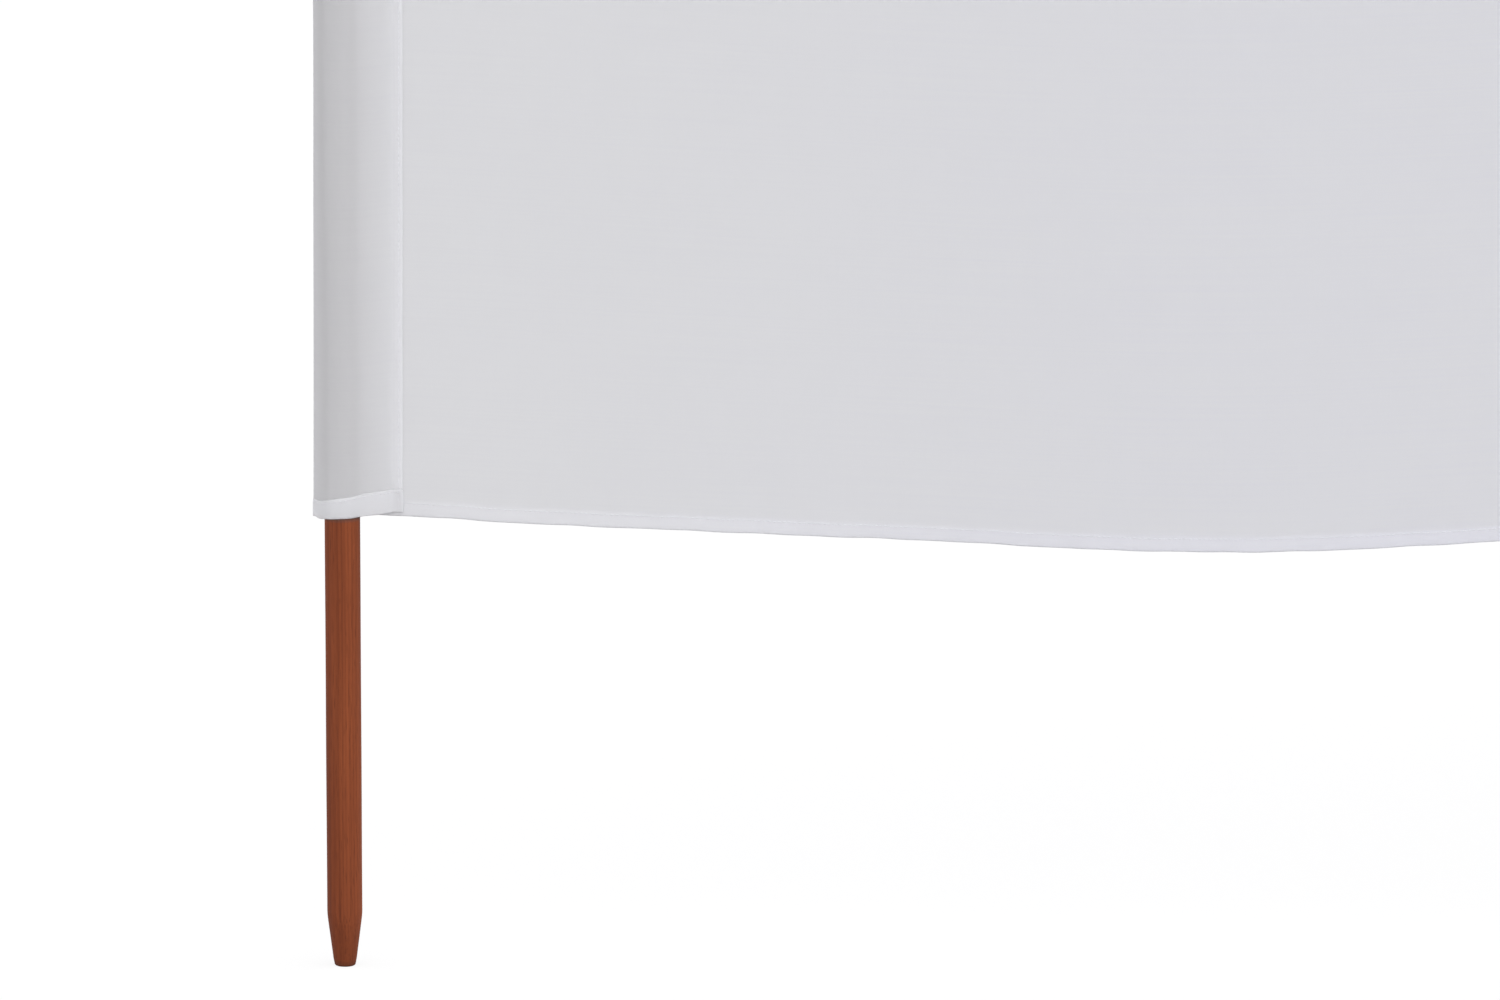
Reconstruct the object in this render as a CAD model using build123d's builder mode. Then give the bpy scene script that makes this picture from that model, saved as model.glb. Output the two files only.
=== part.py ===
from build123d import *
from math import acos, atan2, cos, degrees, hypot, radians, sin
import os

# Beach windbreak: a long cloth screen that round wooden poles hold upright in sewn sleeves.
# The run lies along X, its show side faces -Y, and the cloth passes behind every pole. At each end
# the cloth folds forward round the last pole and is sewn down on the show side. Over every other
# pole a strip is sewn on. The origin is on the middle pole's foot. Lengths are in millimetres.

# The run, counted in bays from pole to pole
BAY_COUNT = 6
BAY_PITCH = 1325.0

# Poles: a bare foot for the ground, the cloth, and a bare head to drive the pole in by
POLE_DIAMETER = 28.0
BARE_FOOT = 360.0
BARE_HEAD = 40.0
FOOT_DIAMETER = 17.0
TAPER_LENGTH = 42.0
FOOT_ROUND = 2.0
SHOULDER_ROUND = 60.0
HEAD_CHAMFER = 2.5

# Cloth: its edges hang slack between the sleeves, and are turned to the back in a hem
CLOTH_HEIGHT = 800.0
CLOTH_THICKNESS = 0.8
POLE_TO_CLOTH = 0.3
HEM_HEIGHT = 13.0
DROOP = 28.0
DROOP_START_SHARES = (0.35, 0.38)
DROOP_BED_SHARES = (0.70, 1.0)

# Sleeves: room beside the pole up to the fold or the seam, and the flat edge that is sewn down
FOLD_ROOM = 7.8
FOLD_RADIUS = 4.0
END_ROOM = 25.0
STRIP_ROOM = 17.0
SEAM_WIDTH = 7.0
SEAM_LAYERS = 2
HEM_LAYERS = 2
MOUTH_SETBACK = 4.0

# Sizes that follow
POLE_RADIUS = POLE_DIAMETER / 2
FOOT_RADIUS = FOOT_DIAMETER / 2
CLOTH_TOP = BARE_FOOT + CLOTH_HEIGHT
POLE_LENGTH = CLOTH_TOP + BARE_HEAD
CLOTH_FRONT = POLE_RADIUS + POLE_TO_CLOTH
FOLD_X = -(POLE_RADIUS + FOLD_ROOM - FOLD_RADIUS)
FOLD_Y = CLOTH_FRONT - FOLD_RADIUS
END_LANDING = POLE_RADIUS + END_ROOM
STRIP_LANDING = POLE_RADIUS + STRIP_ROOM
POLE_PLACES = [(i - BAY_COUNT / 2) * BAY_PITCH for i in range(BAY_COUNT + 1)]
LAST_POLE = BAY_COUNT


def polar(radius, angle):
    """The point at a radius and an angle in degrees."""
    return (radius * cos(radians(angle)), radius * sin(radians(angle)))


def tangent_angle(x, y, radius, turn):
    """The angle at which taut cloth leaves the pole's front for a bend of a radius at x, y.

    turn is 1 for a bend on the pole's left and -1 for one on its right.
    """
    spread = acos((CLOTH_FRONT - radius) / hypot(x, y))
    return degrees(atan2(y, x) + turn * spread)


def wrap_over_pole(start_angle, landing):
    """Cloth over the pole's front from an angle on its left, then straight down to the landing."""
    end_angle = tangent_angle(landing, CLOTH_FRONT, 0, -1) + 360
    CenterArc((0, 0), CLOTH_FRONT, start_angle, end_angle - start_angle)
    Line(polar(CLOTH_FRONT, end_angle), (landing, CLOTH_FRONT))


def end_flap_path():
    """From the cloth's end behind the pole, round the fold and over the front to the landing."""
    fold_angle = tangent_angle(FOLD_X, FOLD_Y, FOLD_RADIUS, 1)
    across, out = polar(FOLD_RADIUS, fold_angle)
    CenterArc((FOLD_X, FOLD_Y), FOLD_RADIUS, 90, fold_angle - 90)
    Line((FOLD_X + across, FOLD_Y + out), polar(CLOTH_FRONT, fold_angle))
    wrap_over_pole(fold_angle, END_LANDING)


def strip_path():
    """From the left landing over the pole's front to the right landing."""
    start_angle = tangent_angle(-STRIP_LANDING, CLOTH_FRONT, 0, 1)
    Line((-STRIP_LANDING, CLOTH_FRONT), polar(CLOTH_FRONT, start_angle))
    wrap_over_pole(start_angle, STRIP_LANDING)


def sleeve_section(pole, layers):
    """A sleeve's plan at one pole, with its sewn edges flat on the cloth."""
    at_end = pole in (0, LAST_POLE)
    seam_size = (SEAM_WIDTH, SEAM_LAYERS * CLOTH_THICKNESS)
    with BuildSketch() as section:
        with BuildLine():
            if at_end:
                end_flap_path()
            else:
                strip_path()
            offset(amount=layers * CLOTH_THICKNESS, side=Side.RIGHT)
        make_face()
        with Locations((END_LANDING if at_end else STRIP_LANDING, CLOTH_FRONT)):
            Rectangle(*seam_size, align=(Align.MIN, Align.MAX))
        if not at_end:
            with Locations((-STRIP_LANDING, CLOTH_FRONT)):
                Rectangle(*seam_size, align=(Align.MAX, Align.MAX))
        if pole == LAST_POLE:
            mirror(about=Plane.YZ, mode=Mode.REPLACE)
    return section.sketch


def drooping_edge(bay, left, right, height):
    """One edge of a bay's cloth: level across the sleeves and slack between them."""
    seam_in = [
        SEAM_WIDTH + (END_LANDING if pole in (0, LAST_POLE) else STRIP_LANDING)
        for pole in (bay, bay + 1)
    ]
    slack_left = POLE_PLACES[bay] + seam_in[0]
    slack_right = POLE_PLACES[bay + 1] - seam_in[1]
    middle = (slack_left + slack_right) / 2
    Line((left, height), (slack_left, height))
    for end in (slack_left, slack_right):
        slope_and_bed = [
            (end + (middle - end) * along, height - DROOP * down)
            for along, down in (DROOP_START_SHARES, DROOP_BED_SHARES)
        ]
        Bezier((end, height), *slope_and_bed, (middle, height - DROOP))
    Line((slack_right, height), (right, height))


def cloth_band(bay, low, high):
    """A bay's cloth between two heights, from pole to pole or to the fold at the run's end."""
    left = POLE_PLACES[bay] + (FOLD_X if bay == 0 else 0)
    right = POLE_PLACES[bay + 1] - (FOLD_X if bay + 1 == LAST_POLE else 0)
    with BuildSketch() as band:
        with BuildLine():
            drooping_edge(bay, left, right, low)
            drooping_edge(bay, left, right, high)
            Line((left, low), (left, high))
            Line((right, low), (right, high))
        make_face()
    return band.sketch


os.makedirs("parts", exist_ok=True)

# Poles: turned, with a blunt taper that meets the shank in a soft shoulder
for number, place in enumerate(POLE_PLACES, start=1):
    with BuildPart() as pole:
        with BuildSketch(Plane((place, 0, 0), x_dir=(1, 0, 0), z_dir=(0, -1, 0))) as profile:
            with BuildLine():
                Polyline(
                    (0, 0),
                    (FOOT_RADIUS, 0),
                    (POLE_RADIUS, TAPER_LENGTH),
                    (POLE_RADIUS, POLE_LENGTH),
                    (0, POLE_LENGTH),
                    close=True,
                )
            make_face()
            fillet(profile.vertices().group_by(Axis.Y)[1], SHOULDER_ROUND)
            fillet(profile.vertices().group_by(Axis.Y)[0].sort_by(Axis.X)[-1], FOOT_ROUND)
            chamfer(profile.vertices().group_by(Axis.Y)[-1].sort_by(Axis.X)[-1], HEAD_CHAMFER)
        revolve(axis=Axis((place, 0, 0), (0, 0, 1)))
    pole.part.label = f"pole_{number}"
    export_step(pole.part, f"parts/pole_{number}.step")

# Panels: one bay of cloth each, with the hems turned up on the back
SHOW_SIDE = Plane((0, CLOTH_FRONT, 0), x_dir=(1, 0, 0), z_dir=(0, -1, 0))
for bay in range(BAY_COUNT):
    with BuildPart() as panel:
        with BuildSketch(SHOW_SIDE):
            add(cloth_band(bay, BARE_FOOT, CLOTH_TOP))
        extrude(amount=-CLOTH_THICKNESS)
        with BuildSketch(SHOW_SIDE.offset(-CLOTH_THICKNESS)):
            add(cloth_band(bay, BARE_FOOT, BARE_FOOT + HEM_HEIGHT))
            add(cloth_band(bay, CLOTH_TOP - HEM_HEIGHT, CLOTH_TOP))
        extrude(amount=-CLOTH_THICKNESS)
    panel.part.label = f"panel_{bay + 1}"
    export_step(panel.part, f"parts/panel_{bay + 1}.step")

# Sleeves: drawn taut over the pole, with a hem turned out round each mouth
MOUTH_LOW = BARE_FOOT + MOUTH_SETBACK
MOUTH_HIGH = CLOTH_TOP - MOUTH_SETBACK
for number, place in enumerate(POLE_PLACES):
    with BuildPart() as sleeve:
        with BuildSketch(Plane((place, 0, MOUTH_LOW))):
            add(sleeve_section(number, 1))
        extrude(amount=MOUTH_HIGH - MOUTH_LOW)
        with BuildSketch(Plane((place, 0, MOUTH_LOW)), Plane((place, 0, MOUTH_HIGH - HEM_HEIGHT))):
            add(sleeve_section(number, HEM_LAYERS))
        extrude(amount=HEM_HEIGHT)
    sleeve.part.label = f"sleeve_{number + 1}"
    export_step(sleeve.part, f"parts/sleeve_{number + 1}.step")
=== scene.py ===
import math
from collections import namedtuple
import bpy
import numpy as np
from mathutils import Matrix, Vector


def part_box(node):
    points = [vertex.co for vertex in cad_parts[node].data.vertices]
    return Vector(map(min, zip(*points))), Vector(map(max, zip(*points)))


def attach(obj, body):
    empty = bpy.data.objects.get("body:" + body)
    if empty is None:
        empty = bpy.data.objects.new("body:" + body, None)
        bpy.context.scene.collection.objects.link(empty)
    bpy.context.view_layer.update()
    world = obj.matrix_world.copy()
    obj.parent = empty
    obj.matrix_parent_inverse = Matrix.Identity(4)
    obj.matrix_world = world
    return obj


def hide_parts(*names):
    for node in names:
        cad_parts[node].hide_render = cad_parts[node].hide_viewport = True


# Beach windbreak: cloth, thread and stained wood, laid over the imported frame.
# Lengths are in metres. The show side faces -Y, and the run lies along X.
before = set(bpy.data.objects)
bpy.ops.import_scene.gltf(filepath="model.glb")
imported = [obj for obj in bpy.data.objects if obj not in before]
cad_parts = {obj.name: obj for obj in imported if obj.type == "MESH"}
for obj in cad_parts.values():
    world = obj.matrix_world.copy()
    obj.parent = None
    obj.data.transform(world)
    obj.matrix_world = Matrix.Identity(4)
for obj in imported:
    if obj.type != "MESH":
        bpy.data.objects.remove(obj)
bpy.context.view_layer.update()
scene = bpy.context.scene

# Places and sizes read from the frame
POLE_COUNT = sum(name.startswith("pole_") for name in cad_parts)
BAY_COUNT = POLE_COUNT - 1
LAST = POLE_COUNT - 1
pole_low, pole_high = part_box("pole_1")
panel_low, panel_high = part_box("panel_1")
sleeve_low, sleeve_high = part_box("sleeve_1")
strip_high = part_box("sleeve_2")[1]
POLE_X = [sum(corner[0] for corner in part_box(f"pole_{n + 1}")) / 2 for n in range(POLE_COUNT)]
POLE_RADIUS = (pole_high[0] - pole_low[0]) / 2
POLE_LENGTH = pole_high[2] - pole_low[2]
THICKNESS = (panel_high[1] - panel_low[1]) / 2
CLOTH_FRONT = panel_low[1]
CLOTH_MIDDLE = CLOTH_FRONT + THICKNESS / 2
MOUTH_SETBACK = panel_high[2] - sleeve_high[2]
EDGE_LOW = sleeve_low[2] - MOUTH_SETBACK
EDGE_HIGH = panel_high[2]
CLOTH_HEIGHT = EDGE_HIGH - EDGE_LOW
DROOP = EDGE_LOW - panel_low[2]
FOLD_REACH = POLE_X[0] - sleeve_low[0]
END_SEAM = sleeve_high[0] - POLE_X[0]
STRIP_SEAM = strip_high[0] - POLE_X[1]

# Poles: sizes that the boxes don't give
FOOT_RADIUS = 0.0085
FOOT_ROUND = 0.002
TAPER_LENGTH = 0.042
SHOULDER_ROUND = 0.060
HEAD_CHAMFER = 0.0025
HEAD_EASE = 0.0002
HEAD_EASE_REACH = 0.0010

# Hems: turned over once, with the raw end tucked in
HEM_HEIGHT = 0.013
HEM_TUCK = 0.0115
LAYER_GAP = 0.0006
EDGE_ROUND = 0.0007
EDGE_ROLL = 0.0022
HEM_TOP_ROUND = 0.0009
PAST_HEM = (0.0012, 0.005, 0.011)

# Thread: lockstitch, which draws the layers together where it runs along a hem
THREAD_RADIUS = 0.00022
THREAD_PROUD = 0.6 * THREAD_RADIUS
STITCH_PITCH = 0.0040
STITCH_LENGTH = 0.0032
STITCH_JITTER = 0.00012
STITCH_BODY = 0.55
STITCH_FLAT = 1.15
STITCH_SUNK = 1.2
STITCH_RING = ((1, 0), (0, 1), (-1, 0), (0, -1))
STITCH_DOWN = 0.0026
STITCH_RISE = HEM_HEIGHT - STITCH_DOWN
SHOWN_SHARE = 0.14
TURNED_SHARE = 0.80
SHOWN_STITCH = SHOWN_SHARE * LAYER_GAP - THREAD_PROUD
TURNED_STITCH = TURNED_SHARE * LAYER_GAP + THREAD_PROUD

# Panels: the slack of their edges, and where the cloth is held, free, lifted or drawn in
SLACK_ALONG = (0, 0.35, 0.70, 1)
SLACK_DOWN = (0, 0.38, 1, 1)
SWAY = 0.0018
SWAY_LENGTH = 0.63
SWAY_FIRST = 0.123
SWAY_RAISED = 0.28
SWAY_FADE = 0.09
SWAY_REACH = 0.20
FREE_FADE = 0.22
HELD_FADE = 0.010
FLUTTER_REACH = 0.16
PUCKER_REACH = 0.020
RIPPLE_REACH = 0.03
LIFT = 0.0012
LIFT_FROM = 0.018
LIFT_FADE = 0.026
DRAWN_FADE = 0.030
BODY_IN = 0.020

# Sleeves: the fold, the sewn edge with its raw end under it, and the waist of an end sleeve
FOLD_RADIUS = 0.004
FOLD_X = -(FOLD_REACH - THICKNESS - FOLD_RADIUS)
FLAP_LIE = CLOTH_FRONT - 1.5 * THICKNESS
SLEEVE_BOW = 0.0014
SEAM_WIDTH = 0.007
SEAM_OUT = 0.0011
SEAM_SPREAD = 0.0022
LIP_FROM_TURN = 0.0010
LIP_TO_LANDING = 0.0008
LIP_ROOM = 0.15
WAIST = 0.0026
WAIST_SOFT = 0.02
STIR_ACROSS = 3
STIR_FADE_START = 0.012
STIR_FADE_END = 0.016

# Sleeve stitches: how far in from the edges, the ends and the joint with the panel they lie
SEAM_STITCH_IN = 0.45 * SEAM_WIDTH
SEAM_STITCH_END = 0.006
MOUTH_STITCH_JOINT = 0.003
MOUTH_STITCH_START = 0.002
MOUTH_STITCH_END = 0.003

# End mouths: ramps along the wrap, each with its start and reach as shares of it, and what it adds
END_SETBACK = ((0.0, 0.42, 1.30), (0.42, 0.58, -0.45), (0.10, 0.08, -0.28), (0.48, 0.16, 0.28))
END_SETBACK_LESS = 0.15
END_ROLL = 0.28
END_ROLL_PLACE = 0.09
END_ROLL_WIDTH = 0.05
END_HEM = ((0.0, 0.10, 0.0008), (0.0, 0.75, 0.0050))
JOINT_FADE = 0.007

# Strip mouths: a hem a little deeper than the panels', and not quite even
STRIP_HEM_MORE = 0.0015
STRIP_HEM_SWING = 0.0008
STRIP_HEM_TURN = 4

# Waves: a seed, the lengths of the waves, their height and the most that they slant in radians
BILLOW = (10, (1.30, 0.83, 0.61), 0.0026, 0.9)
FLUTTER = (20, (0.47, 0.31), 0.0016, 0.1)
PUCKER = (30, (0.051, 0.037, 0.029), 0.00022, 0.5)
RIPPLE = (40, (0.19, 0.083, 0.047), 0.00028, 0.0)
LOW_MOUTH = (60, (0.071, 0.043), 0.00035, 0.0)
HIGH_MOUTH = (70, (0.067, 0.039), 0.00035, 0.0)
STIR = (80, (0.42, 0.23, 0.13), 0.00016, 1.2)
OUT_OF_ROUND = (200, (0.41, 0.17, 0.09), 0.00007, 1.5)
LENGTH_PER_RADIAN = 0.01

# Other seeds
PANEL_STITCH_SEED = 50
SEAM_STITCH_SEED = 90
MOUTH_STITCH_SEED = 130
STREAK_SEED = 240
SWAY_SEED = 300

# Where each piece is cut from the bolt or the log, so that no two look alike
BAY_CUT = 1.7
SLEEVE_CUT = 5.0
POLE_CUT_ACROSS = 0.05
POLE_CUT_ALONG = 2.3

# Streaks: one paler and one darker up each pole, with angles in radians, and two waves that vary them. On
# the first pole the paler streak is aimed to the front right as a painted highlight, and the darker one
# falls to the front left as painted shade; on the others they fall at random.
PAINTED_HIGHLIGHT_AIM = -1.25
STREAK_WIDTH = 0.42
STREAK_AMOUNT = 0.75
DARK_TURN = 1.25
DARK_WIDTH = 0.55
DARK_AMOUNT = 0.55
STREAK_WANDER = (250, (0.9, 0.37), 0.16, 0.0)
STREAK_CHANGE = (260, (0.31, 0.17), 0.3, 0.0)

# Mesh steps
CURVE = np.linspace(0, 1, 400)
PANEL_COLUMNS = 241
BODY_ROWS = 76
FOLD_STEPS = 12
SIDE_STEPS = 5
OVER_STEPS = 17
RUN_STEPS = 12
SEAM_STEPS = 4
SEAM_TURN_STEPS = 5
LIP_STEPS = 3
AHEAD_STEP = 0.0005
POLE_SEGMENTS = 56
FOOT_RINGS = (0.0006, 0.002, 0.004, 0.006)
FOOT_STEPS = 6
TAPER_FROM = 0.006
TAPER_STEPS = 7
SHOULDER_STEPS = 7
SHANK_ABOVE_TAPER = 0.020
SHANK_BELOW_TOP = 0.012
SHANK_STEPS = 72
HEAD_RINGS = (0.008, 0.005, 0.002, 0.0006)


# Node helpers
def new_material(name):
    """A material with nothing but its output: the material, its node tree and that output."""
    material = bpy.data.materials.new(name)
    material.use_nodes = True
    tree = material.node_tree
    tree.nodes.clear()
    return material, tree, tree.nodes.new("ShaderNodeOutputMaterial")


def node(tree, kind, settings=None, **sockets):
    """A node with some settings, and with values or other nodes' outputs on its sockets.

    A socket goes by its name, with _ for each space, or by i and its number.
    """
    made = tree.nodes.new(kind)
    for name, value in (settings or {}).items():
        setattr(made, name, value)
    for name, value in sockets.items():
        socket = made.inputs[int(name[1:]) if name[1:].isdigit() else name.replace("_", " ")]
        if isinstance(value, bpy.types.NodeSocket):
            tree.links.new(value, socket)
        else:
            socket.default_value = value
    return made


def math_node(tree, operation, first, second=0.0):
    """One operation on two values."""
    return node(tree, "ShaderNodeMath", {"operation": operation}, i0=first, i1=second).outputs[0]


def weighted(tree, *terms):
    """The sum of values, each times its weight."""
    total, *others = [math_node(tree, "MULTIPLY", value, weight) for value, weight in terms]
    for other in others:
        total = math_node(tree, "ADD", total, other)
    return total


def separated(tree, vector):
    """A vector's three parts."""
    return node(tree, "ShaderNodeSeparateXYZ", None, Vector=vector).outputs


def stretched_noise(tree, coordinates, stretch, detail, roughness=0.5):
    """Noise with its own number of waves to the metre along each axis."""
    mapping = node(tree, "ShaderNodeMapping", None, Vector=coordinates, Scale=stretch)
    return node(
        tree, "ShaderNodeTexNoise", None,
        Vector=mapping.outputs[0], Scale=1.0, Detail=detail, Roughness=roughness,
    ).outputs["Fac"]


def mixed_colour(tree, factor, first, second):
    """A colour between two colours."""
    mix = node(tree, "ShaderNodeMix", {"data_type": "RGBA"}, i0=factor, i6=first, i7=second)
    return mix.outputs[2]


def remapped(tree, value, low, high, out_low=0.0, out_high=1.0):
    """A value moved from one range to another, and held inside it."""
    return node(
        tree, "ShaderNodeMapRange", None, i0=value, i1=low, i2=high, i3=out_low, i4=out_high
    ).outputs[0]


def bumped(tree, height, strength, distance):
    """A surface's direction, turned by a height that is so many metres deep."""
    return node(
        tree, "ShaderNodeBump", None, Strength=strength, Distance=distance, Height=height
    ).outputs[0]


# Cloth: white plain weave that lets some light through, with slubs along the run
SLUB_NOISE = ((5.0, 620.0, 1.0), 2.0)
CROSS_NOISE = ((760.0, 7.0, 1.0), 1.0)
MOTTLE_NOISE = ((7.0, 9.0, 1.0), 3.0)
SLUB_TONE = 0.60
MOTTLE_TONE = 0.25
CROSS_TONE = 0.15
TONE_RANGE = (0.30, 0.70)
TINGE_LENGTH = 1.7
TINGE_START = 0.55
WARMER_CLOTH = ((0.966, 0.966, 0.980, 1), (0.988, 0.988, 0.994, 1))
COOLER_CLOTH = ((0.956, 0.956, 0.996, 1), (0.980, 0.980, 1.000, 1))
WARP_PITCH = 0.00080
WEFT_PITCH = 0.00088
UNEVEN = 5.0
SLUB_HEIGHT = 1.5
CLOTH_BUMP = (0.20, 0.00008)
CLOTH_ROUGHNESS = (0.3, 0.7, 0.76, 0.88)
SHEER = 0.42
SHEER_WEAVE = 0.18


def cloth_material():
    """The woven cloth. Its attribute gives the place on the flat cloth in metres."""
    material, tree, output = new_material("cloth")
    place = node(tree, "ShaderNodeAttribute", {"attribute_name": "flat"}).outputs["Vector"]
    across, along, _ = separated(tree, place)
    slub = stretched_noise(tree, place, *SLUB_NOISE)
    cross = stretched_noise(tree, place, *CROSS_NOISE)
    mottle = stretched_noise(tree, place, *MOTTLE_NOISE)

    tone = weighted(tree, (slub, SLUB_TONE), (mottle, MOTTLE_TONE), (cross, CROSS_TONE))
    shade = remapped(tree, tone, *TONE_RANGE)
    drift = math_node(tree, "ADD", weighted(tree, (across, 2 * math.pi / TINGE_LENGTH)), TINGE_START)
    tinge = remapped(tree, math_node(tree, "SINE", drift), -1.0, 1.0)
    warmer = mixed_colour(tree, shade, *WARMER_CLOTH)
    cooler = mixed_colour(tree, shade, *COOLER_CLOTH)
    colour = mixed_colour(tree, tinge, warmer, cooler)

    warp = weighted(tree, (across, 2 * math.pi / WARP_PITCH), (cross, UNEVEN))
    weft = weighted(tree, (along, 2 * math.pi / WEFT_PITCH), (slub, UNEVEN))
    weave = math_node(
        tree, "MULTIPLY", math_node(tree, "SINE", warp), math_node(tree, "SINE", weft))
    height = weighted(tree, (weave, 1.0), (slub, SLUB_HEIGHT))
    face = node(
        tree, "ShaderNodeBsdfPrincipled", None,
        Base_Color=colour, Roughness=remapped(tree, slub, *CLOTH_ROUGHNESS), Specular_IOR_Level=0.25,
        Sheen_Weight=0.10, Sheen_Roughness=0.45, Normal=bumped(tree, height, *CLOTH_BUMP),
    )
    through = node(tree, "ShaderNodeBsdfTranslucent", None, Color=colour)
    sheer = math_node(tree, "SUBTRACT", SHEER, math_node(tree, "MULTIPLY", weave, SHEER_WEAVE))
    mix = node(tree, "ShaderNodeMixShader", None, i0=sheer, i1=face.outputs[0], i2=through.outputs[0])
    tree.links.new(mix.outputs[0], output.inputs["Surface"])
    return material


# Thread: white and a little fuzzy
FUZZ_NOISE = ((900.0, 900.0, 900.0), 2.0)
THREAD_COLOURS = ((0.90, 0.90, 0.93, 1), (0.97, 0.97, 0.99, 1))
THREAD_BUMP = (0.3, 0.00008)


def thread_material():
    """The sewing thread."""
    material, tree, output = new_material("thread")
    place = node(tree, "ShaderNodeTexCoord").outputs["Object"]
    fuzz = stretched_noise(tree, place, *FUZZ_NOISE)
    face = node(
        tree, "ShaderNodeBsdfPrincipled", None,
        Base_Color=mixed_colour(tree, fuzz, *THREAD_COLOURS), Roughness=0.55, Specular_IOR_Level=0.4,
        Normal=bumped(tree, fuzz, *THREAD_BUMP),
    )
    tree.links.new(face.outputs[0], output.inputs["Surface"])
    return material


# Wood: red-brown stain over grain that runs up the pole, worn at both ends, with painted shade inside the
# sleeves and painted light in the first pole's streaks
BROAD_NOISE = ((110.0, 110.0, 2.6), 2.0)
FINE_NOISE = ((620.0, 620.0, 9.0), 3.0, 0.6)
FIBRE_NOISE = ((2300.0, 2300.0, 26.0), 2.0)
PORE_NOISE = ((1500.0, 1500.0, 60.0), 1.0)
PITH_X = -0.006
PITH_Y = -0.009
RING_PITCH = 0.0024
RING_WANDER = 9.0
BROAD_TONE = 0.55
FINE_TONE = 0.45
RING_TONE = 0.05
FIBRE_TONE = 0.35
STREAK_AND_PAINTED_LIGHT_TONE = 0.16
STREAK_RANGE = (0.28, 0.80)
STAIN = ((0.162, 0.0378, 0.0145, 1), (0.310, 0.0780, 0.0275, 1))
TAPER_WEAR = (TAPER_LENGTH - 0.004, TAPER_LENGTH - 0.018, 0.0, 0.45)
TAPER_COLOUR = (0.155, 0.036, 0.013, 1)
RIM_WEAR = (POLE_LENGTH - 0.0050, POLE_LENGTH - 0.0015, 0.0, 0.8)
RIM_PATCHES = (0.42, 0.58, 0.2, 1.0)
RIM_COLOUR = (0.400, 0.150, 0.066, 1)
# The foot is darker over its last few millimetres
TIP_DARKENING = (0.006, 0.0012, 0.0, 0.65)
TIP_COLOUR = (0.095, 0.033, 0.016, 1)
PORE_RANGE = (0.60, 0.72, 0.0, 0.55)
PORE_COLOUR = (0.105, 0.026, 0.012, 1)
PORE_HEIGHT = -0.6
# Painted shade: the wood inside each sleeve is darkened, fading in around each mouth so that a thin dark
# band shows just outside it
PAINTED_SHADE_FROM = -0.0005
PAINTED_SHADE_FULLY = 0.0045
PAINTED_SHADE_COLOUR = (0.10, 0.074, 0.066, 1)
END_FACING = (0.55, 0.9)
END_GRAIN = ((0.070, 0.024, 0.013, 1), (0.125, 0.044, 0.022, 1))
WOOD_BUMP = (0.25, 0.0003)
WOOD_ROUGHNESS = (0.3, 0.7, 0.58, 0.72)


def growth_rings(tree, place, wander):
    """Waves from -1 to 1 about a pith that lies off the pole's middle."""
    across, deep, _ = separated(tree, place)
    squares = [
        math_node(tree, "POWER", math_node(tree, "SUBTRACT", part, pith), 2.0)
        for part, pith in ((across, PITH_X), (deep, PITH_Y))
    ]
    reach = math_node(tree, "SQRT", math_node(tree, "ADD", *squares))
    return math_node(
        tree, "SINE", weighted(tree, (reach, 2 * math.pi / RING_PITCH), (wander, RING_WANDER)))


def worn_and_shaded_side(tree, stained, fine, pores):
    """The colour of the pole's side: the stain with its wear and pores, darker towards the foot, and
    painted shade inside the sleeves with a thin dark band just outside each mouth.
    """
    _, _, height = separated(tree, node(tree, "ShaderNodeTexCoord").outputs["Object"])
    side = mixed_colour(tree, remapped(tree, height, *TAPER_WEAR), stained, TAPER_COLOUR)
    rubbed = math_node(
        tree, "MULTIPLY", remapped(tree, height, *RIM_WEAR), remapped(tree, fine, *RIM_PATCHES))
    side = mixed_colour(tree, rubbed, side, RIM_COLOUR)
    side = mixed_colour(tree, remapped(tree, height, *TIP_DARKENING), side, TIP_COLOUR)
    side = mixed_colour(tree, remapped(tree, pores, *PORE_RANGE), side, PORE_COLOUR)
    # Painted shade: darken the wood inside the sleeves, with a thin dark band just outside each mouth
    shade_above_lower_mouth = remapped(tree, height, EDGE_LOW + PAINTED_SHADE_FROM, EDGE_LOW + PAINTED_SHADE_FULLY)
    shade_below_upper_mouth = remapped(tree, height, EDGE_HIGH - PAINTED_SHADE_FROM, EDGE_HIGH - PAINTED_SHADE_FULLY)
    painted_sleeve_shade = math_node(tree, "MULTIPLY", shade_above_lower_mouth, shade_below_upper_mouth)
    return mixed_colour(tree, painted_sleeve_shade, side, PAINTED_SHADE_COLOUR)


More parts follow.
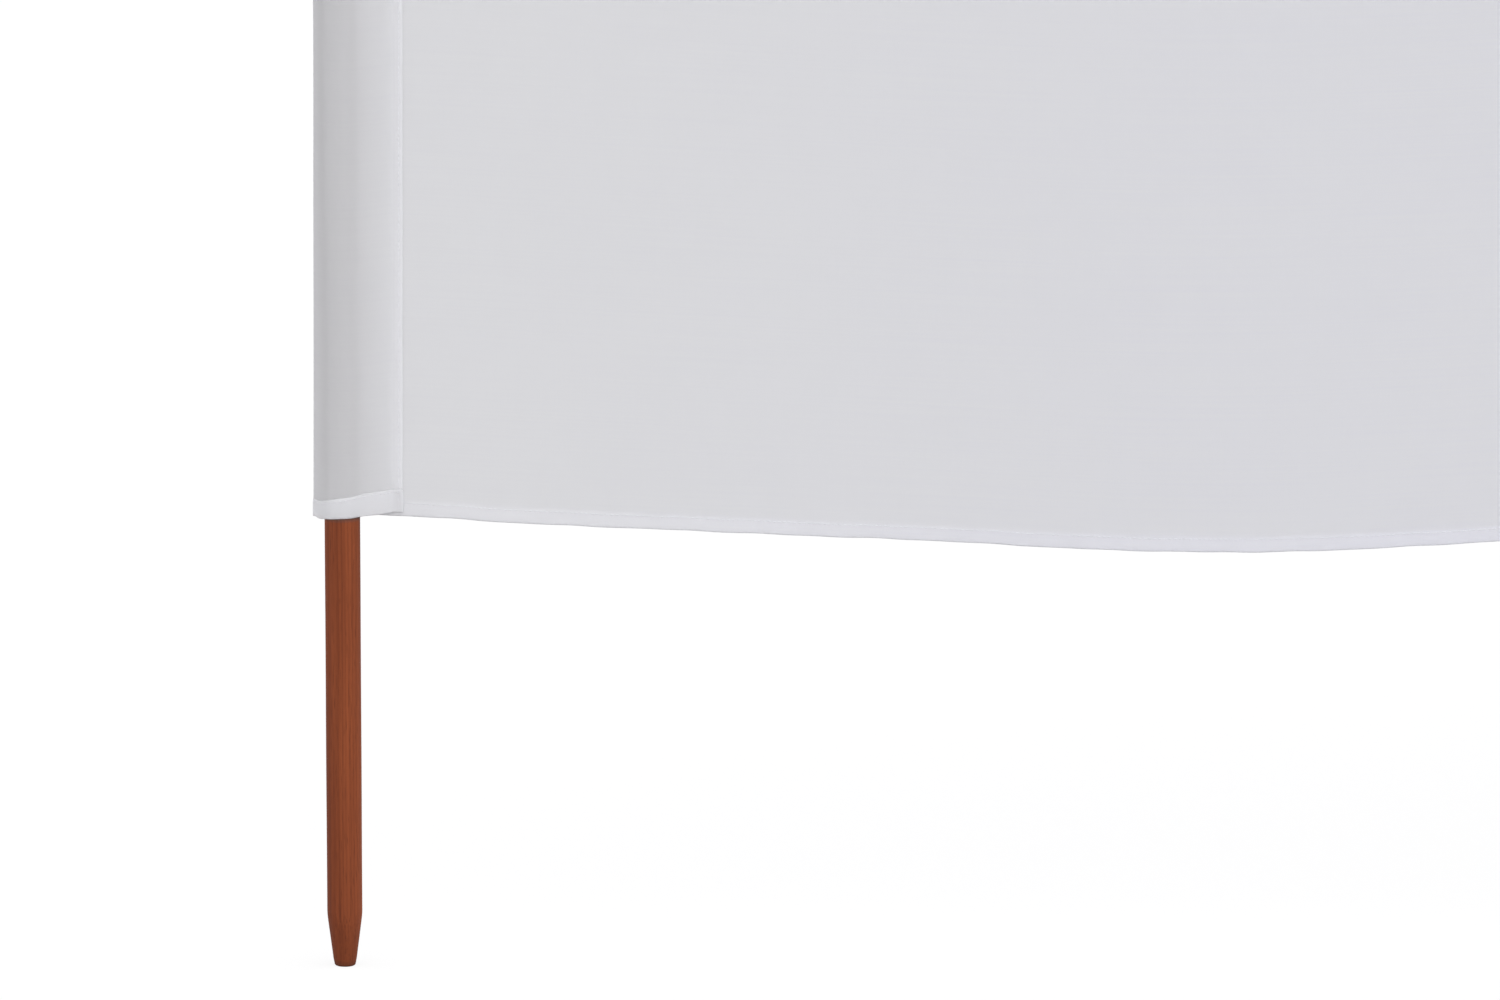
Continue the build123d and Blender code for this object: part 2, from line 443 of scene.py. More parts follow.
def wood_material():
    """The stained wood. Its attributes give the place in the pole, with grain along Z, and the streaks,
    which on the first pole are painted highlight and shade.
    """
    material, tree, output = new_material("stained_wood")
    place = node(tree, "ShaderNodeAttribute", {"attribute_name": "grain"}).outputs["Vector"]
    streak_and_painted_light = node(tree, "ShaderNodeAttribute", {"attribute_name": "streak_and_painted_light"}).outputs["Fac"]
    broad = stretched_noise(tree, place, *BROAD_NOISE)
    fine = stretched_noise(tree, place, *FINE_NOISE)
    fibre = stretched_noise(tree, place, *FIBRE_NOISE)
    pores = stretched_noise(tree, place, *PORE_NOISE)
    ring = growth_rings(tree, place, broad)

    # The streaks carry painted highlight and painted shade on the first pole
    tone_and_painted_light = weighted(
        tree, (broad, BROAD_TONE), (fine, FINE_TONE), (ring, RING_TONE),
        (math_node(tree, "SUBTRACT", fibre, 0.5), FIBRE_TONE), (streak_and_painted_light, STREAK_AND_PAINTED_LIGHT_TONE))
    stained = mixed_colour(tree, remapped(tree, tone_and_painted_light, *STREAK_RANGE), *STAIN)
    side = worn_and_shaded_side(tree, stained, fine, pores)
    cut = mixed_colour(tree, remapped(tree, ring, -1.0, 1.0), *END_GRAIN)
    _, _, up = separated(tree, node(tree, "ShaderNodeNewGeometry").outputs["Normal"])
    end_facing = remapped(tree, math_node(tree, "ABSOLUTE", up), *END_FACING)

    height = weighted(tree, (fine, 1.0), (pores, PORE_HEIGHT))
    face = node(
        tree, "ShaderNodeBsdfPrincipled", None,
        Base_Color=mixed_colour(tree, end_facing, side, cut),
        Roughness=remapped(tree, fine, *WOOD_ROUGHNESS), Specular_IOR_Level=0.12,
        Normal=bumped(tree, height, *WOOD_BUMP),
    )
    tree.links.new(face.outputs[0], output.inputs["Surface"])
    return material


CLOTH = cloth_material()
THREAD = thread_material()
WOOD = wood_material()


# Mesh helpers
def add_piece(name, points, faces, material, slot, attribute=None, values=None):
    """A smooth piece that rides on the root body, with its own coordinates as an attribute."""
    mesh = bpy.data.meshes.new(name)
    mesh.from_pydata(points.reshape(-1, 3).tolist(), [], faces)
    mesh.shade_smooth()
    mesh.materials.append(material)
    if attribute:
        data = mesh.attributes.new(attribute, "FLOAT_VECTOR", "POINT").data
        data.foreach_set("vector", np.asarray(values, dtype=np.float32).reshape(-1))
    piece = bpy.data.objects.new(name, mesh)
    scene.collection.objects.link(piece)
    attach(piece, "root")
    return piece


def grid_faces(rows, columns, closed=False):
    """The quads between rows and columns of points. Closed joins the last column to the first."""
    index = np.arange(rows * columns).reshape(rows, columns)
    if closed:
        index = np.concatenate([index, index[:, :1]], axis=1)
    quads = [index[:-1, :-1], index[:-1, 1:], index[1:, 1:], index[1:, :-1]]
    return np.stack(quads, axis=-1).reshape(-1, 4).tolist()


def stacked(*parts):
    """Points from their parts, which may be single values or rows and columns."""
    return np.stack(np.broadcast_arrays(*parts), axis=-1)


def smooth_step(value):
    """From 0 to 1 with level ends."""
    held = np.clip(value, 0, 1)
    return held * held * (3 - 2 * held)


def fading(distance, reach):
    """From 1 at no distance to nothing far past a reach."""
    return np.exp(-np.abs(distance) / reach)


def ramped(share, ramps):
    """The sum of smooth ramps at a share of the way."""
    return sum(amount * smooth_step((share - start) / reach) for start, reach, amount in ramps)


def waves(kind, number, across, up):
    """Smooth waves of one kind, different for each number."""
    seed, lengths, height, slant = kind
    chance = np.random.default_rng(seed + number)
    total = np.zeros(np.broadcast(across, up).shape)
    for length in lengths:
        turn = chance.uniform(-slant, slant)
        start = chance.uniform(0, 2 * math.pi)
        ahead = across * math.cos(turn) + up * math.sin(turn)
        total += np.sin(2 * math.pi * ahead / length + start)
    return height * total / math.sqrt(len(lengths))


def bezier(ends_and_pulls, t):
    """A cubic from its start to its end, drawn by two pulls."""
    start, first, second, end = ends_and_pulls
    left = 1 - t
    return start * left ** 3 + 3 * first * t * left ** 2 + 3 * second * t * t * left + end * t ** 3


# Hems and stitches
def hem_rows(height):
    """Rows across a hem from its tucked end to the cloth past it.

    Gives each row's depth behind the cloth, its rise above the edge and its place on the flat.
    A row is written as its share of the gap between the layers, and its rise.
    """
    tucked = [
        (0.50, height - HEM_TUCK),
        (0.45, height - HEM_TUCK / 2),
        (0.34, height - HEM_TOP_ROUND),
    ]
    turned = [
        (0.48, height),
        (0.66, height - HEM_TOP_ROUND),
        (TURNED_SHARE, height - STITCH_DOWN),
        (1.0, height / 2),
        (1.0, EDGE_ROLL),
        (0.9, EDGE_ROUND),
    ]
    shown = [
        (0.5, 0.0),
        (0.1, EDGE_ROUND),
        (0.0, EDGE_ROLL),
        (0.0, height / 2),
        (SHOWN_SHARE, height - STITCH_DOWN),
        (0.02, height - EDGE_ROUND),
    ]
    shown += [(0.0, height + past) for past in PAST_HEM]
    layers, rises = np.array(tucked + turned + shown).T
    flat = [rise - 2 * height for _, rise in tucked]
    flat += [-rise for _, rise in turned]
    flat += [rise for _, rise in shown]
    return layers * LAYER_GAP, rises, np.array(flat)


def stitches(places, along, out):
    """Short threads that lie on a surface, each with its ends drawn into the cloth."""
    half = STITCH_LENGTH / 2
    beside = np.cross(along, out)
    sunk = out * THREAD_RADIUS * STITCH_SUNK
    rows = [places - along * half - sunk]
    for end in (-STITCH_BODY, STITCH_BODY):
        for side, up in STITCH_RING:
            flank = beside * THREAD_RADIUS * STITCH_FLAT * side
            rows.append(places + along * half * end + flank + out * THREAD_RADIUS * up)
    rows.append(places + along * half - sunk)

    ring = len(STITCH_RING)
    faces = []
    for tip in range(0, len(places) * len(rows), len(rows)):
        near = tip + 1
        far = near + ring
        far_tip = far + ring
        for step in range(ring):
            after = (step + 1) % ring
            faces.append((tip, near + step, near + after))
            faces.append((near + step, far + step, far + after, near + after))
            faces.append((far + step, far_tip, far + after))
    return np.stack(rows, axis=1).reshape(-1, 3), faces


def joined(parts):
    """Several lots of stitches as one list of points and faces."""
    points, faces, count = [], [], 0
    for some_points, some_faces in parts:
        points.append(some_points)
        faces.extend(tuple(i + count for i in face) for face in some_faces)
        count += len(some_points)
    return np.concatenate(points), faces


def run_of(start, end, seed):
    """Places of stitches along a line, not quite evenly spaced."""
    count = int((end - start) / STITCH_PITCH)
    places = start + (np.arange(count) + 0.5) * (end - start) / count
    return places + np.random.default_rng(seed).normal(0, STITCH_JITTER, count)


# Panels
def at_end(pole):
    """Whether a pole is the first or the last of the run."""
    return pole in (0, LAST)


def seam_reach(pole):
    """How far a sleeve's sewn edge lies from its pole."""
    return END_SEAM if at_end(pole) else STRIP_SEAM


def bay_ends(bay):
    """Where a bay's slack cloth starts and ends, between its sleeves."""
    return POLE_X[bay] + seam_reach(bay), POLE_X[bay + 1] - seam_reach(bay + 1)


def between_seams(bay, x, fade):
    """0 at a bay's two seams, and 1 further in than a fade."""
    left, right = bay_ends(bay)
    return smooth_step((x - left) / fade) * smooth_step((right - x) / fade)


def slack(bay, x):
    """How far a bay's edges hang down at x: nothing at the sleeves, most in the middle."""
    left, right = bay_ends(bay)
    share = np.clip(1 - np.abs(x - (left + right) / 2) / ((right - left) / 2), 0, 1)
    return DROOP * np.interp(share, bezier(SLACK_ALONG, CURVE), bezier(SLACK_DOWN, CURVE))


def panel_span(bay):
    """Where a bay's cloth starts and ends: at the pole's middle, or where the end folds forward."""
    left = POLE_X[bay] + (FOLD_X if bay == 0 else 0)
    right = POLE_X[bay + 1] - (FOLD_X if bay + 1 == LAST else 0)
    return left, right


def waist(rise):
    """How far an end fold draws in towards its pole, at a height above the lower edge."""
    middle = CLOTH_HEIGHT / 2
    return WAIST * np.clip(1 - np.sqrt(((rise - middle) / middle) ** 2 + WAIST_SOFT), 0, 1)


def sway(bay, x, rise):
    """How far a bay's two edges hang below their even line, in long waves that fade into the cloth."""
    starts = np.random.default_rng(SWAY_SEED + bay).uniform(0, SWAY_LENGTH, 2)
    if bay == 0:
        starts[0] = SWAY_FIRST
    total = 0
    for start, away in zip(starts, (rise, CLOTH_HEIGHT - rise)):
        wave = np.cos(2 * math.pi * (x - POLE_X[bay] - start) / SWAY_LENGTH) - SWAY_RAISED
        total = total + SWAY * wave * fading(away, SWAY_REACH)
    return between_seams(bay, x, SWAY_FADE) * total


def panel_place(bay, x, rise, layer):
    """A point of a bay's cloth: x, height above its lower edge, and depth behind the front layer."""
    free = between_seams(bay, x, FREE_FADE)
    held = between_seams(bay, x, HELD_FADE)
    from_edge = np.minimum(rise, CLOTH_HEIGHT - rise)
    billow = waves(BILLOW, bay, x, rise)
    flutter = waves(FLUTTER, bay, x, 0 * rise) * fading(from_edge, FLUTTER_REACH)
    pucker = waves(PUCKER, bay, x, rise) * fading(from_edge, PUCKER_REACH)
    ripple = waves(RIPPLE, bay, x, 0 * rise) * fading(from_edge, RIPPLE_REACH)
    near_pole = sum(
        1 - smooth_step((np.abs(x - POLE_X[pole]) - LIFT_FROM) / LIFT_FADE) for pole in (bay, bay + 1))
    y = CLOTH_MIDDLE + layer + free * (billow + flutter) + held * pucker
    z = EDGE_LOW - slack(bay, x) - sway(bay, x, rise) + rise + held * ripple + LIFT * near_pole
    start, end = panel_span(bay)
    drawn = 0
    if bay == 0:
        drawn = waist(rise) * (1 - smooth_step((x - start) / DRAWN_FADE))
    if bay == BAY_COUNT - 1:
        drawn = drawn - waist(rise) * (1 - smooth_step((end - x) / DRAWN_FADE))
    return stacked(x + drawn, y, z)


def hem_stitches(bay):
    """The stitches along a bay's two hems: in front between the sleeves, and all along the back."""
    front = (-1, bay_ends(bay), SHOWN_STITCH)
    back = (1, panel_span(bay), TURNED_STITCH)
    rows = []
    for edge, rise in enumerate((STITCH_RISE, CLOTH_HEIGHT - STITCH_RISE)):
        for side, ends, layer in (front, back):
            x = run_of(*ends, PANEL_STITCH_SEED + 10 * bay + 2 * edge + side)
            middle = panel_place(bay, x, rise + 0 * x, layer)
            ahead = panel_place(bay, x + AHEAD_STEP, rise + 0 * x, layer) - middle
            along = ahead / np.linalg.norm(ahead, axis=1, keepdims=True)
            out = np.broadcast_to((0.0, float(side), 0.0), middle.shape)
            rows.append(stitches(middle, along, out))
    return rows


def make_panel(bay):
    """A bay's cloth with its two hems, and the rows of stitches along them."""
    left, right = panel_span(bay)
    columns = np.linspace(left, right, PANEL_COLUMNS)
    layers, rises, flat = hem_rows(HEM_HEIGHT)
    body = np.linspace(HEM_HEIGHT + BODY_IN, CLOTH_HEIGHT - HEM_HEIGHT - BODY_IN, BODY_ROWS)
    layer = np.concatenate([layers, 0 * body, layers[::-1]])
    rise = np.concatenate([rises, body, CLOTH_HEIGHT - rises[::-1]])
    up = np.concatenate([flat, body, CLOTH_HEIGHT - flat[::-1]])
    points = panel_place(bay, columns[None, :], rise[:, None], layer[:, None])
    on_flat = stacked(columns[None, :], up[:, None] + BAY_CUT * bay, 0.0)
    faces = grid_faces(len(rise), len(columns))
    cloth = add_piece(f"panel_cloth_{bay + 1}", points, faces, CLOTH, "cloth", "flat", on_flat)
    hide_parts(f"panel_{bay + 1}")
    thread = add_piece(f"panel_thread_{bay + 1}", *joined(hem_stitches(bay)), THREAD, "cloth")


# Sleeves
Sleeve = namedtuple("Sleeve", "pole path room out length low high hem")


def arc(centre, radius, start, end, steps):
    """Points along an arc, with its angles in radians."""
    turn = np.linspace(start, end, steps)
    return np.stack([centre[0] + radius * np.cos(turn), centre[1] + radius * np.sin(turn)], axis=-1)


def line(start, end, steps):
    """Points from start up to but not onto end."""
    share = np.linspace(0, 1, steps, endpoint=False)[:, None]
    return np.array(start) * (1 - share) + np.array(end) * share


def sewn_edge(landing):
    """The flap's plan from its landing on: the sewn edge, with its raw end folded under."""
    end = landing + SEAM_WIDTH - THICKNESS / 2
    under = FLAP_LIE + THICKNESS
    flat = line((landing, FLAP_LIE), (end, FLAP_LIE), SEAM_STEPS)
    turn = arc(
        (end, FLAP_LIE + THICKNESS / 2), THICKNESS / 2, -math.pi / 2, math.pi / 2, SEAM_TURN_STEPS)
    lip = line((end - LIP_FROM_TURN, under), (landing + LIP_TO_LANDING, under), LIP_STEPS)
    return np.concatenate([flat, turn, lip])


def front_half(landing, start):
    """The cloth over the pole's front from an angle to its landing, and its sewn edge."""
    spread = math.acos(CLOTH_MIDDLE / math.hypot(landing, FLAP_LIE))
    leave = math.atan2(FLAP_LIE, landing) - spread + 2 * math.pi
    over = arc((0, 0), CLOTH_MIDDLE, start, leave, OVER_STEPS)[:-1]
    out = (math.cos(leave), math.sin(leave))
    run = line((CLOTH_MIDDLE * out[0], CLOTH_MIDDLE * out[1]), (landing, FLAP_LIE), RUN_STEPS)
    bow = SLEEVE_BOW * np.sin(np.linspace(0, math.pi, len(run), endpoint=False)) ** 2
    return np.concatenate([over, run + bow[:, None] * out, sewn_edge(landing)])


def end_path(inside):
    """The first sleeve's plan: the fold behind the pole, its side, and the front."""
    fold_x = FOLD_X + WAIST * inside
    fold_y = CLOTH_FRONT - FOLD_RADIUS
    bend = FOLD_RADIUS + THICKNESS / 2
    spread = math.acos((CLOTH_MIDDLE - bend) / math.hypot(fold_x, fold_y))
    leave = math.atan2(fold_y, fold_x) + spread
    fold = arc((fold_x, fold_y), bend, math.pi / 2, leave, FOLD_STEPS)[:-1]
    start = (fold_x + bend * math.cos(leave), fold_y + bend * math.sin(leave))
    end = (CLOTH_MIDDLE * math.cos(leave), CLOTH_MIDDLE * math.sin(leave))
    front = front_half(END_SEAM - SEAM_WIDTH + SEAM_OUT + SEAM_SPREAD * inside, leave)
    return np.concatenate([fold, line(start, end, SIDE_STEPS), front])


def sleeve_path(pole, inside):
    """A sleeve's plan about its pole, with how much room each point has for more layers.

    Inside is 0 at a mouth. It rises towards 1 halfway up, where an end sleeve's fold is drawn in
    and its seam spreads.
    """
    if at_end(pole):
        path = end_path(inside)
        room = np.ones(len(path))
        if pole == LAST:
            path = path * (-1, 1)
    else:
        half = front_half(STRIP_SEAM - SEAM_WIDTH, 1.5 * math.pi)
        path = np.concatenate([half[:0:-1] * (-1, 1), half])
        room = np.ones(len(path))
        room[:LIP_STEPS] = LIP_ROOM
    room[-LIP_STEPS:] = LIP_ROOM
    return path, room


def outward(path, mirrored):
    """The plan's outward directions."""
    ahead = np.gradient(path, axis=0)
    ahead = ahead / np.linalg.norm(ahead, axis=1, keepdims=True)
    turned = np.stack([ahead[:, 1], -ahead[:, 0]], axis=-1)
    return -turned if mirrored else turned


def mouths(pole, length):
    """A sleeve's lower edge, its upper edge and the height of their hems, all along its plan."""
    share = length / length[-1]
    if at_end(pole):
        rolled = END_ROLL * np.exp(-(((share - END_ROLL_PLACE) / END_ROLL_WIDTH) ** 2))
        set_back = MOUTH_SETBACK * (ramped(share, END_SETBACK) + rolled - END_SETBACK_LESS)
        hem = HEM_HEIGHT + ramped(share, END_HEM)
        joint = 1 - smooth_step(length / JOINT_FADE)
    else:
        set_back = MOUTH_SETBACK
        hem = HEM_HEIGHT + STRIP_HEM_MORE + STRIP_HEM_SWING * np.sin(STRIP_HEM_TURN * share)
        joint = 0
    low = EDGE_LOW + set_back + waves(LOW_MOUTH, pole, length, 0 * length)
    high = EDGE_HIGH - set_back + waves(HIGH_MOUTH, pole, length, 0 * length)
    low = low + (EDGE_LOW + LIFT - low) * joint
    high = high + (EDGE_HIGH + LIFT - high) * joint
    return low, high, hem


def sleeve_plan(pole):
    """A sleeve's plan, with its outward directions, the length along it and its mouths."""
    path, room = sleeve_path(pole, 0.0)
    steps = np.linalg.norm(np.diff(path, axis=0), axis=1)
    length = np.concatenate([[0], np.cumsum(steps)])
    return Sleeve(pole, path, room, outward(path, pole == LAST), length, *mouths(pole, length))


def sleeve_cloth(sleeve):
    """A sleeve's cloth, hemmed at both mouths."""
    pole, path, room, out, length, low, high, hem = sleeve
    hems = [hem_rows(height) for height in hem]
    layers, rises, flats = [np.stack(part, axis=1) for part in zip(*hems)]
    inner_low = low + rises[-1]
    inner_high = high - rises[-1]
    body = inner_low + (inner_high - inner_low) * np.linspace(0, 1, BODY_ROWS)[1:-1, None]
    z = np.concatenate([low + rises, body, (high - rises)[::-1]])
    up = np.concatenate([low + flats, body, (high - flats)[::-1]])
    layer = np.concatenate([layers, 0 * body, layers[::-1]]) * room
    loose = smooth_step(length / STIR_FADE_START) * smooth_step((length[-1] - length) / STIR_FADE_END)
    off = layer + waves(STIR, pole, STIR_ACROSS * length[None, :], z) * loose
    inside = (waist(z - EDGE_LOW) / WAIST)[..., None]
    plan = path * (1 - inside) + sleeve_path(pole, 1.0)[0] * inside
    points = stacked(POLE_X[pole] + plan[..., 0] + out[:, 0] * off, plan[..., 1] + out[:, 1] * off, z)
    on_flat = stacked(POLE_X[pole] + length[None, :], up, SLEEVE_CUT)
    faces = grid_faces(*z.shape)
    if pole == LAST:
        faces = [face[::-1] for face in faces]
    return add_piece(f"sleeve_cloth_{pole + 1}", points, faces, CLOTH, "cloth", "flat", on_flat)


def seam_stitches(sleeve):
    """The stitches up a sleeve's sewn edges, in front and behind, on each side that has a bay."""
    pole = sleeve.pole
    sides = [side for side in (-1, 1) if 0 <= pole + side <= LAST]
    rows = []
    for side in sides:
        seed = SEAM_STITCH_SEED + 4 * pole + side
        up = run_of(EDGE_LOW + SEAM_STITCH_END, EDGE_HIGH - SEAM_STITCH_END, seed)
        spread = SEAM_OUT + SEAM_SPREAD * waist(up - EDGE_LOW) / WAIST if at_end(pole) else 0
        reach = seam_reach(pole) - SEAM_STITCH_IN
        x = POLE_X[pole] + side * (reach + spread)
        sewn = np.argmin(np.abs(sleeve.path[:, 0] - side * reach))
        from_mouth = np.minimum(up - sleeve.low[sewn], sleeve.high[sewn] - up)
        hem_layer = LAYER_GAP * (from_mouth < sleeve.hem[sewn] + STITCH_LENGTH / 2)
        front = FLAP_LIE - THREAD_PROUD - hem_layer
        back = CLOTH_MIDDLE + THREAD_PROUD + hem_layer
        for y, facing in ((front, -1.0), (back, 1.0)):
            middle = stacked(x, y, up)
            along = np.broadcast_to((0.0, 0.0, 1.0), middle.shape)
            out = np.broadcast_to((0.0, facing, 0.0), middle.shape)
            rows.append(stitches(middle, along, out))
    return rows


def mouth_stitches(sleeve):
    """The stitches along a sleeve's two hems, on the outside."""
    pole = sleeve.pole
    length = sleeve.length
    first = MOUTH_STITCH_JOINT if at_end(pole) else length[LIP_STEPS] + MOUTH_STITCH_START
    last = length[-1 - LIP_STEPS] - MOUTH_STITCH_END
    rows = []
    for edge, sign in ((sleeve.low, 1), (sleeve.high, -1)):
        places = run_of(first, last, MOUTH_STITCH_SEED + 2 * pole + sign)
        x, y = [np.interp(places, length, part) for part in sleeve.path.T]
        out_x, out_y = [np.interp(places, length, part) for part in sleeve.out.T]
        z = np.interp(places, length, edge + sign * (sleeve.hem - STITCH_DOWN))
        middle = stacked(POLE_X[pole] + (x + out_x * TURNED_STITCH), y + out_y * TURNED_STITCH, z)
        rows.append(stitches(middle, stacked(-out_y, out_x, 0.0), stacked(out_x, out_y, 0.0)))
    return rows


def make_sleeve(pole):
    """A sleeve sewn over its pole, with the rows of stitches that hold it."""
    sleeve = sleeve_plan(pole)
    cloth = sleeve_cloth(sleeve)
    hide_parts(f"sleeve_{pole + 1}")
    rows = seam_stitches(sleeve) + mouth_stitches(sleeve)
    thread = add_piece(f"sleeve_thread_{pole + 1}", *joined(rows), THREAD, "cloth")


# Poles
def pole_profile():
    """Radius and height up a turned pole: blunt foot, taper, soft shoulder, shank and eased head."""
    widening = POLE_RADIUS - FOOT_RADIUS
    slope = math.atan2(widening, TAPER_LENGTH)
    tangent = SHOULDER_ROUND * math.tan(slope / 2)
    foot = [(radius, 0.0) for radius in FOOT_RINGS]
    foot += [
        (FOOT_RADIUS - FOOT_ROUND * (1 - math.sin(turn)), FOOT_ROUND * (1 - math.cos(turn)))
        for turn in np.linspace(0, math.pi / 2, FOOT_STEPS)
    ]
    taper = [
        (FOOT_RADIUS + widening * (z / TAPER_LENGTH), z)
        for z in np.linspace(TAPER_FROM, TAPER_LENGTH - tangent, TAPER_STEPS)
    ]
    centre_r = POLE_RADIUS - SHOULDER_ROUND
    centre_z = TAPER_LENGTH + tangent
    shoulder = [
        (centre_r + SHOULDER_ROUND * math.cos(turn), centre_z - SHOULDER_ROUND * math.sin(turn))
        for turn in np.linspace(slope, 0, SHOULDER_STEPS)[1:]
    ]
    shank_ends = (TAPER_LENGTH + SHANK_ABOVE_TAPER, POLE_LENGTH - SHANK_BELOW_TOP)
    shank = [(POLE_RADIUS, z) for z in np.linspace(*shank_ends, SHANK_STEPS)]
    head = [
        (POLE_RADIUS, POLE_LENGTH - HEAD_CHAMFER - HEAD_EASE_REACH),
        (POLE_RADIUS - HEAD_EASE, POLE_LENGTH - HEAD_CHAMFER),
        (POLE_RADIUS - HEAD_CHAMFER / 2, POLE_LENGTH - HEAD_CHAMFER / 2),
        (POLE_RADIUS - HEAD_CHAMFER, POLE_LENGTH - HEAD_EASE),
        (POLE_RADIUS - HEAD_CHAMFER - HEAD_EASE_REACH, POLE_LENGTH),
    ]
    head += [(radius, POLE_LENGTH) for radius in HEAD_RINGS]
    return np.array(foot + taper + shoulder + shank + head)


def streaks_and_painted_light(number, turn, height):
    """How much paler or darker a pole's wood is, round it and up it. On the first pole the paler streak is
    a painted highlight aimed to the front right, with painted shade to the front left; on the others the
    streaks fall at random.
    """
    # Painted highlight: the first pole's paler streak is aimed to the front right, its darker one to the
    # front left as painted shade
    aim = PAINTED_HIGHLIGHT_AIM
    if number > 0:
        aim = np.random.default_rng(STREAK_SEED + number).uniform(-math.pi, math.pi)
    wander = waves(STREAK_WANDER, number, height, 0 * height)[:, None]
    amount = STREAK_AMOUNT + waves(STREAK_CHANGE, number, height, 0 * height)[:, None]
    away = (turn[None, :] - aim - wander + math.pi) % (2 * math.pi) - math.pi
    paler_and_highlight = np.exp(-((away / STREAK_WIDTH) ** 2)) * amount
    darker_and_shade = DARK_AMOUNT * np.exp(-(((away + DARK_TURN) / DARK_WIDTH) ** 2))
    return paler_and_highlight - darker_and_shade


def make_pole(number):
    """A turned pole, a little out of round, with its grain along it."""
    radius, height = pole_profile().T
    turn = np.linspace(0, 2 * math.pi, POLE_SEGMENTS, endpoint=False)
    uneven = waves(OUT_OF_ROUND, number, turn[None, :] * LENGTH_PER_RADIAN, height[:, None])
    reach = radius[:, None] + uneven * smooth_step(radius / POLE_RADIUS)[:, None]
    x = reach * np.cos(turn)
    y = reach * np.sin(turn)
    z = height[:, None] + 0 * x
    points = stacked(POLE_X[number] + x, y, z)
    grain = stacked(x + POLE_CUT_ACROSS * number, y, z + POLE_CUT_ALONG * number)
    faces = grid_faces(len(height), POLE_SEGMENTS, closed=True)
    faces.append(tuple(range(POLE_SEGMENTS))[::-1])
    faces.append(tuple(range((len(height) - 1) * POLE_SEGMENTS, len(height) * POLE_SEGMENTS)))
    piece = add_piece(f"pole_piece_{number + 1}", points, faces, WOOD, "pole_wood", "grain", grain)
    # Streaks, which on the first pole are painted highlight and painted shade
    streak_and_painted_light = piece.data.attributes.new("streak_and_painted_light", "FLOAT", "POINT").data
    streak_and_painted_light.foreach_set("value", streaks_and_painted_light(number, turn, height).astype(np.float32).reshape(-1))
    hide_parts(f"pole_{number + 1}")


for number in range(POLE_COUNT):
    make_pole(number)
for bay in range(BAY_COUNT):
    make_panel(bay)
for number in range(POLE_COUNT):
    make_sleeve(number)

# Camera: the photograph's own framing of the run's left end, from the show side and a little above
PHOTO_WIDTH = 1500
PIXELS_PER_METRE = 1270
FRAME_WIDTH = PHOTO_WIDTH / PIXELS_PER_METRE
AIM_FROM_POLE = 0.3211
AIM_HEIGHT = 0.3757
AIM = (POLE_X[0] + AIM_FROM_POLE, 0.0, AIM_HEIGHT)
DISTANCE = 9.6
TILT = math.radians(11)
SENSOR_WIDTH = 36
CLIP_END = 400

camera = bpy.data.objects.new("camera", bpy.data.cameras.new("camera"))
camera.data.sensor_width = SENSOR_WIDTH
camera.data.lens = SENSOR_WIDTH * DISTANCE / FRAME_WIDTH
camera.data.clip_end = CLIP_END
camera.location = (AIM[0], AIM[1] - DISTANCE * math.cos(TILT), AIM[2] + DISTANCE * math.sin(TILT))
camera.rotation_euler = (math.pi / 2 - TILT, 0, 0)
scene.collection.objects.link(camera)
scene.camera = camera

# Stage: a pale floor
WHITE = (1, 1, 1, 1)
FLOOR_HALF = 300.0
FLOOR_LIT = (0.55, 0.55, 0.55, 1)
FLOOR_SHOWN = (0.18, 0.18, 0.18, 1)
FLOOR_GLOW = 0.84


def seen_directly(tree):
    """1 where a ray shows the background itself: from the camera, or in gloss or clear glass."""
    path = node(tree, "ShaderNodeLightPath").outputs
    clear = math_node(tree, "MULTIPLY", path["Is Transmission Ray"], path["Is Singular Ray"])
    shown = math_node(tree, "MAXIMUM", path["Is Camera Ray"], path["Is Glossy Ray"])
    return math_node(tree, "MAXIMUM", shown, clear)


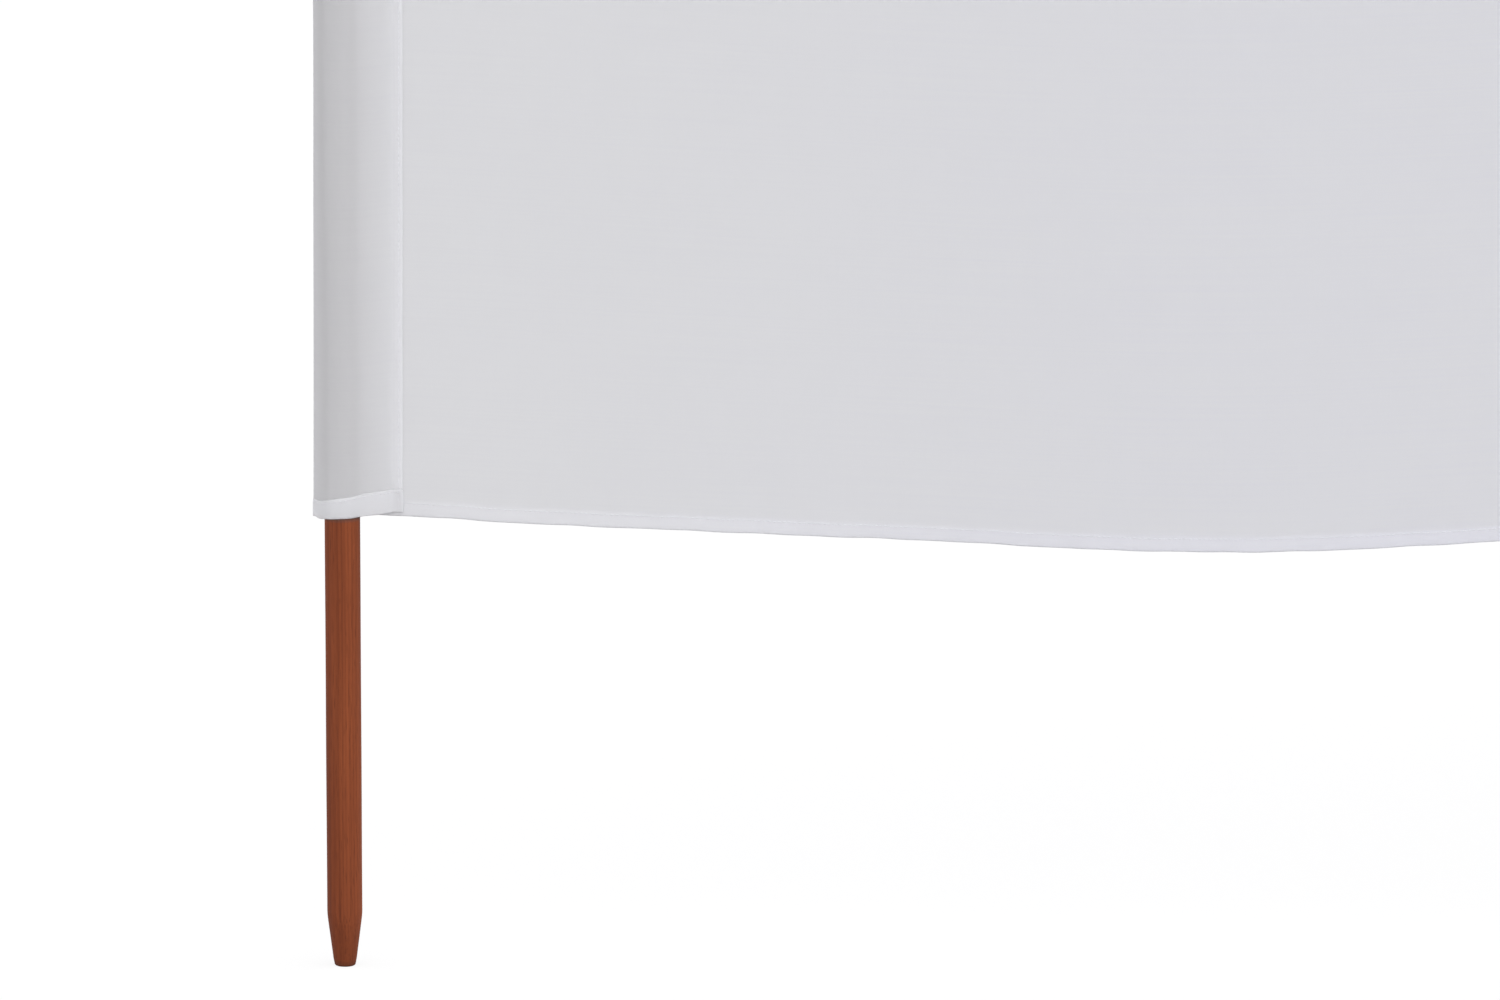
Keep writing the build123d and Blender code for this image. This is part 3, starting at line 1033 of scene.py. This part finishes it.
def floor_material():
    """Pale floor that shows white, and keeps the object's shadow."""
    material, tree, output = new_material("floor")
    lit = node(tree, "ShaderNodeBsdfDiffuse", None, Color=FLOOR_LIT)
    shadowed = node(tree, "ShaderNodeBsdfDiffuse", None, Color=FLOOR_SHOWN)
    glow = node(tree, "ShaderNodeEmission", None, Color=WHITE, Strength=FLOOR_GLOW)
    white = node(tree, "ShaderNodeAddShader", None, i0=shadowed.outputs[0], i1=glow.outputs[0])
    mix = node(
        tree, "ShaderNodeMixShader", None, i0=seen_directly(tree), i1=lit.outputs[0], i2=white.outputs[0])
    tree.links.new(mix.outputs[0], output.inputs["Surface"])
    material.cycles.emission_sampling = "NONE"
    return material


corners = [(x * FLOOR_HALF, y * FLOOR_HALF, 0) for x, y in ((-1, -1), (1, -1), (1, 1), (-1, 1))]
floor_mesh = bpy.data.meshes.new("floor")
floor_mesh.from_pydata(corners, [], [(0, 1, 2, 3)])
floor_mesh.materials.append(floor_material())
floor = bpy.data.objects.new("floor", floor_mesh)
scene.collection.objects.link(floor)

# Light: soft, from the front, above and both sides, a little stronger from the right, weak from behind
LIGHT_COLOUR = (0.978, 0.978, 1.0, 1)
LIGHT_AHEAD = 1.32
LIGHT_BEHIND = 0.02
LIGHT_FADE = (0.12, 0.76)
LIGHT_SIDES = (0.84, 1.16)

world = bpy.data.worlds.new("studio")
world.use_nodes = True
tree = world.node_tree
tree.nodes.clear()
toward = node(tree, "ShaderNodeTexCoord").outputs["Generated"]
sideways, backward, _ = separated(tree, toward)
ahead = node(
    tree, "ShaderNodeMapRange", {"interpolation_type": "SMOOTHSTEP"},
    i0=backward, i1=LIGHT_FADE[0], i2=LIGHT_FADE[1], i3=LIGHT_AHEAD, i4=LIGHT_BEHIND,
).outputs[0]
soft_box = math_node(tree, "MULTIPLY", ahead, remapped(tree, sideways, -1.0, 1.0, *LIGHT_SIDES))
shown = seen_directly(tree)
strength = node(tree, "ShaderNodeMix", None, i0=shown, i2=soft_box, i3=1.0).outputs[0]
tint = mixed_colour(tree, shown, LIGHT_COLOUR, WHITE)
fill = node(tree, "ShaderNodeBackground", None, Color=tint, Strength=strength)
tree.links.new(fill.outputs[0], node(tree, "ShaderNodeOutputWorld").inputs["Surface"])
scene.world = world

scene.view_settings.view_transform = "Standard"
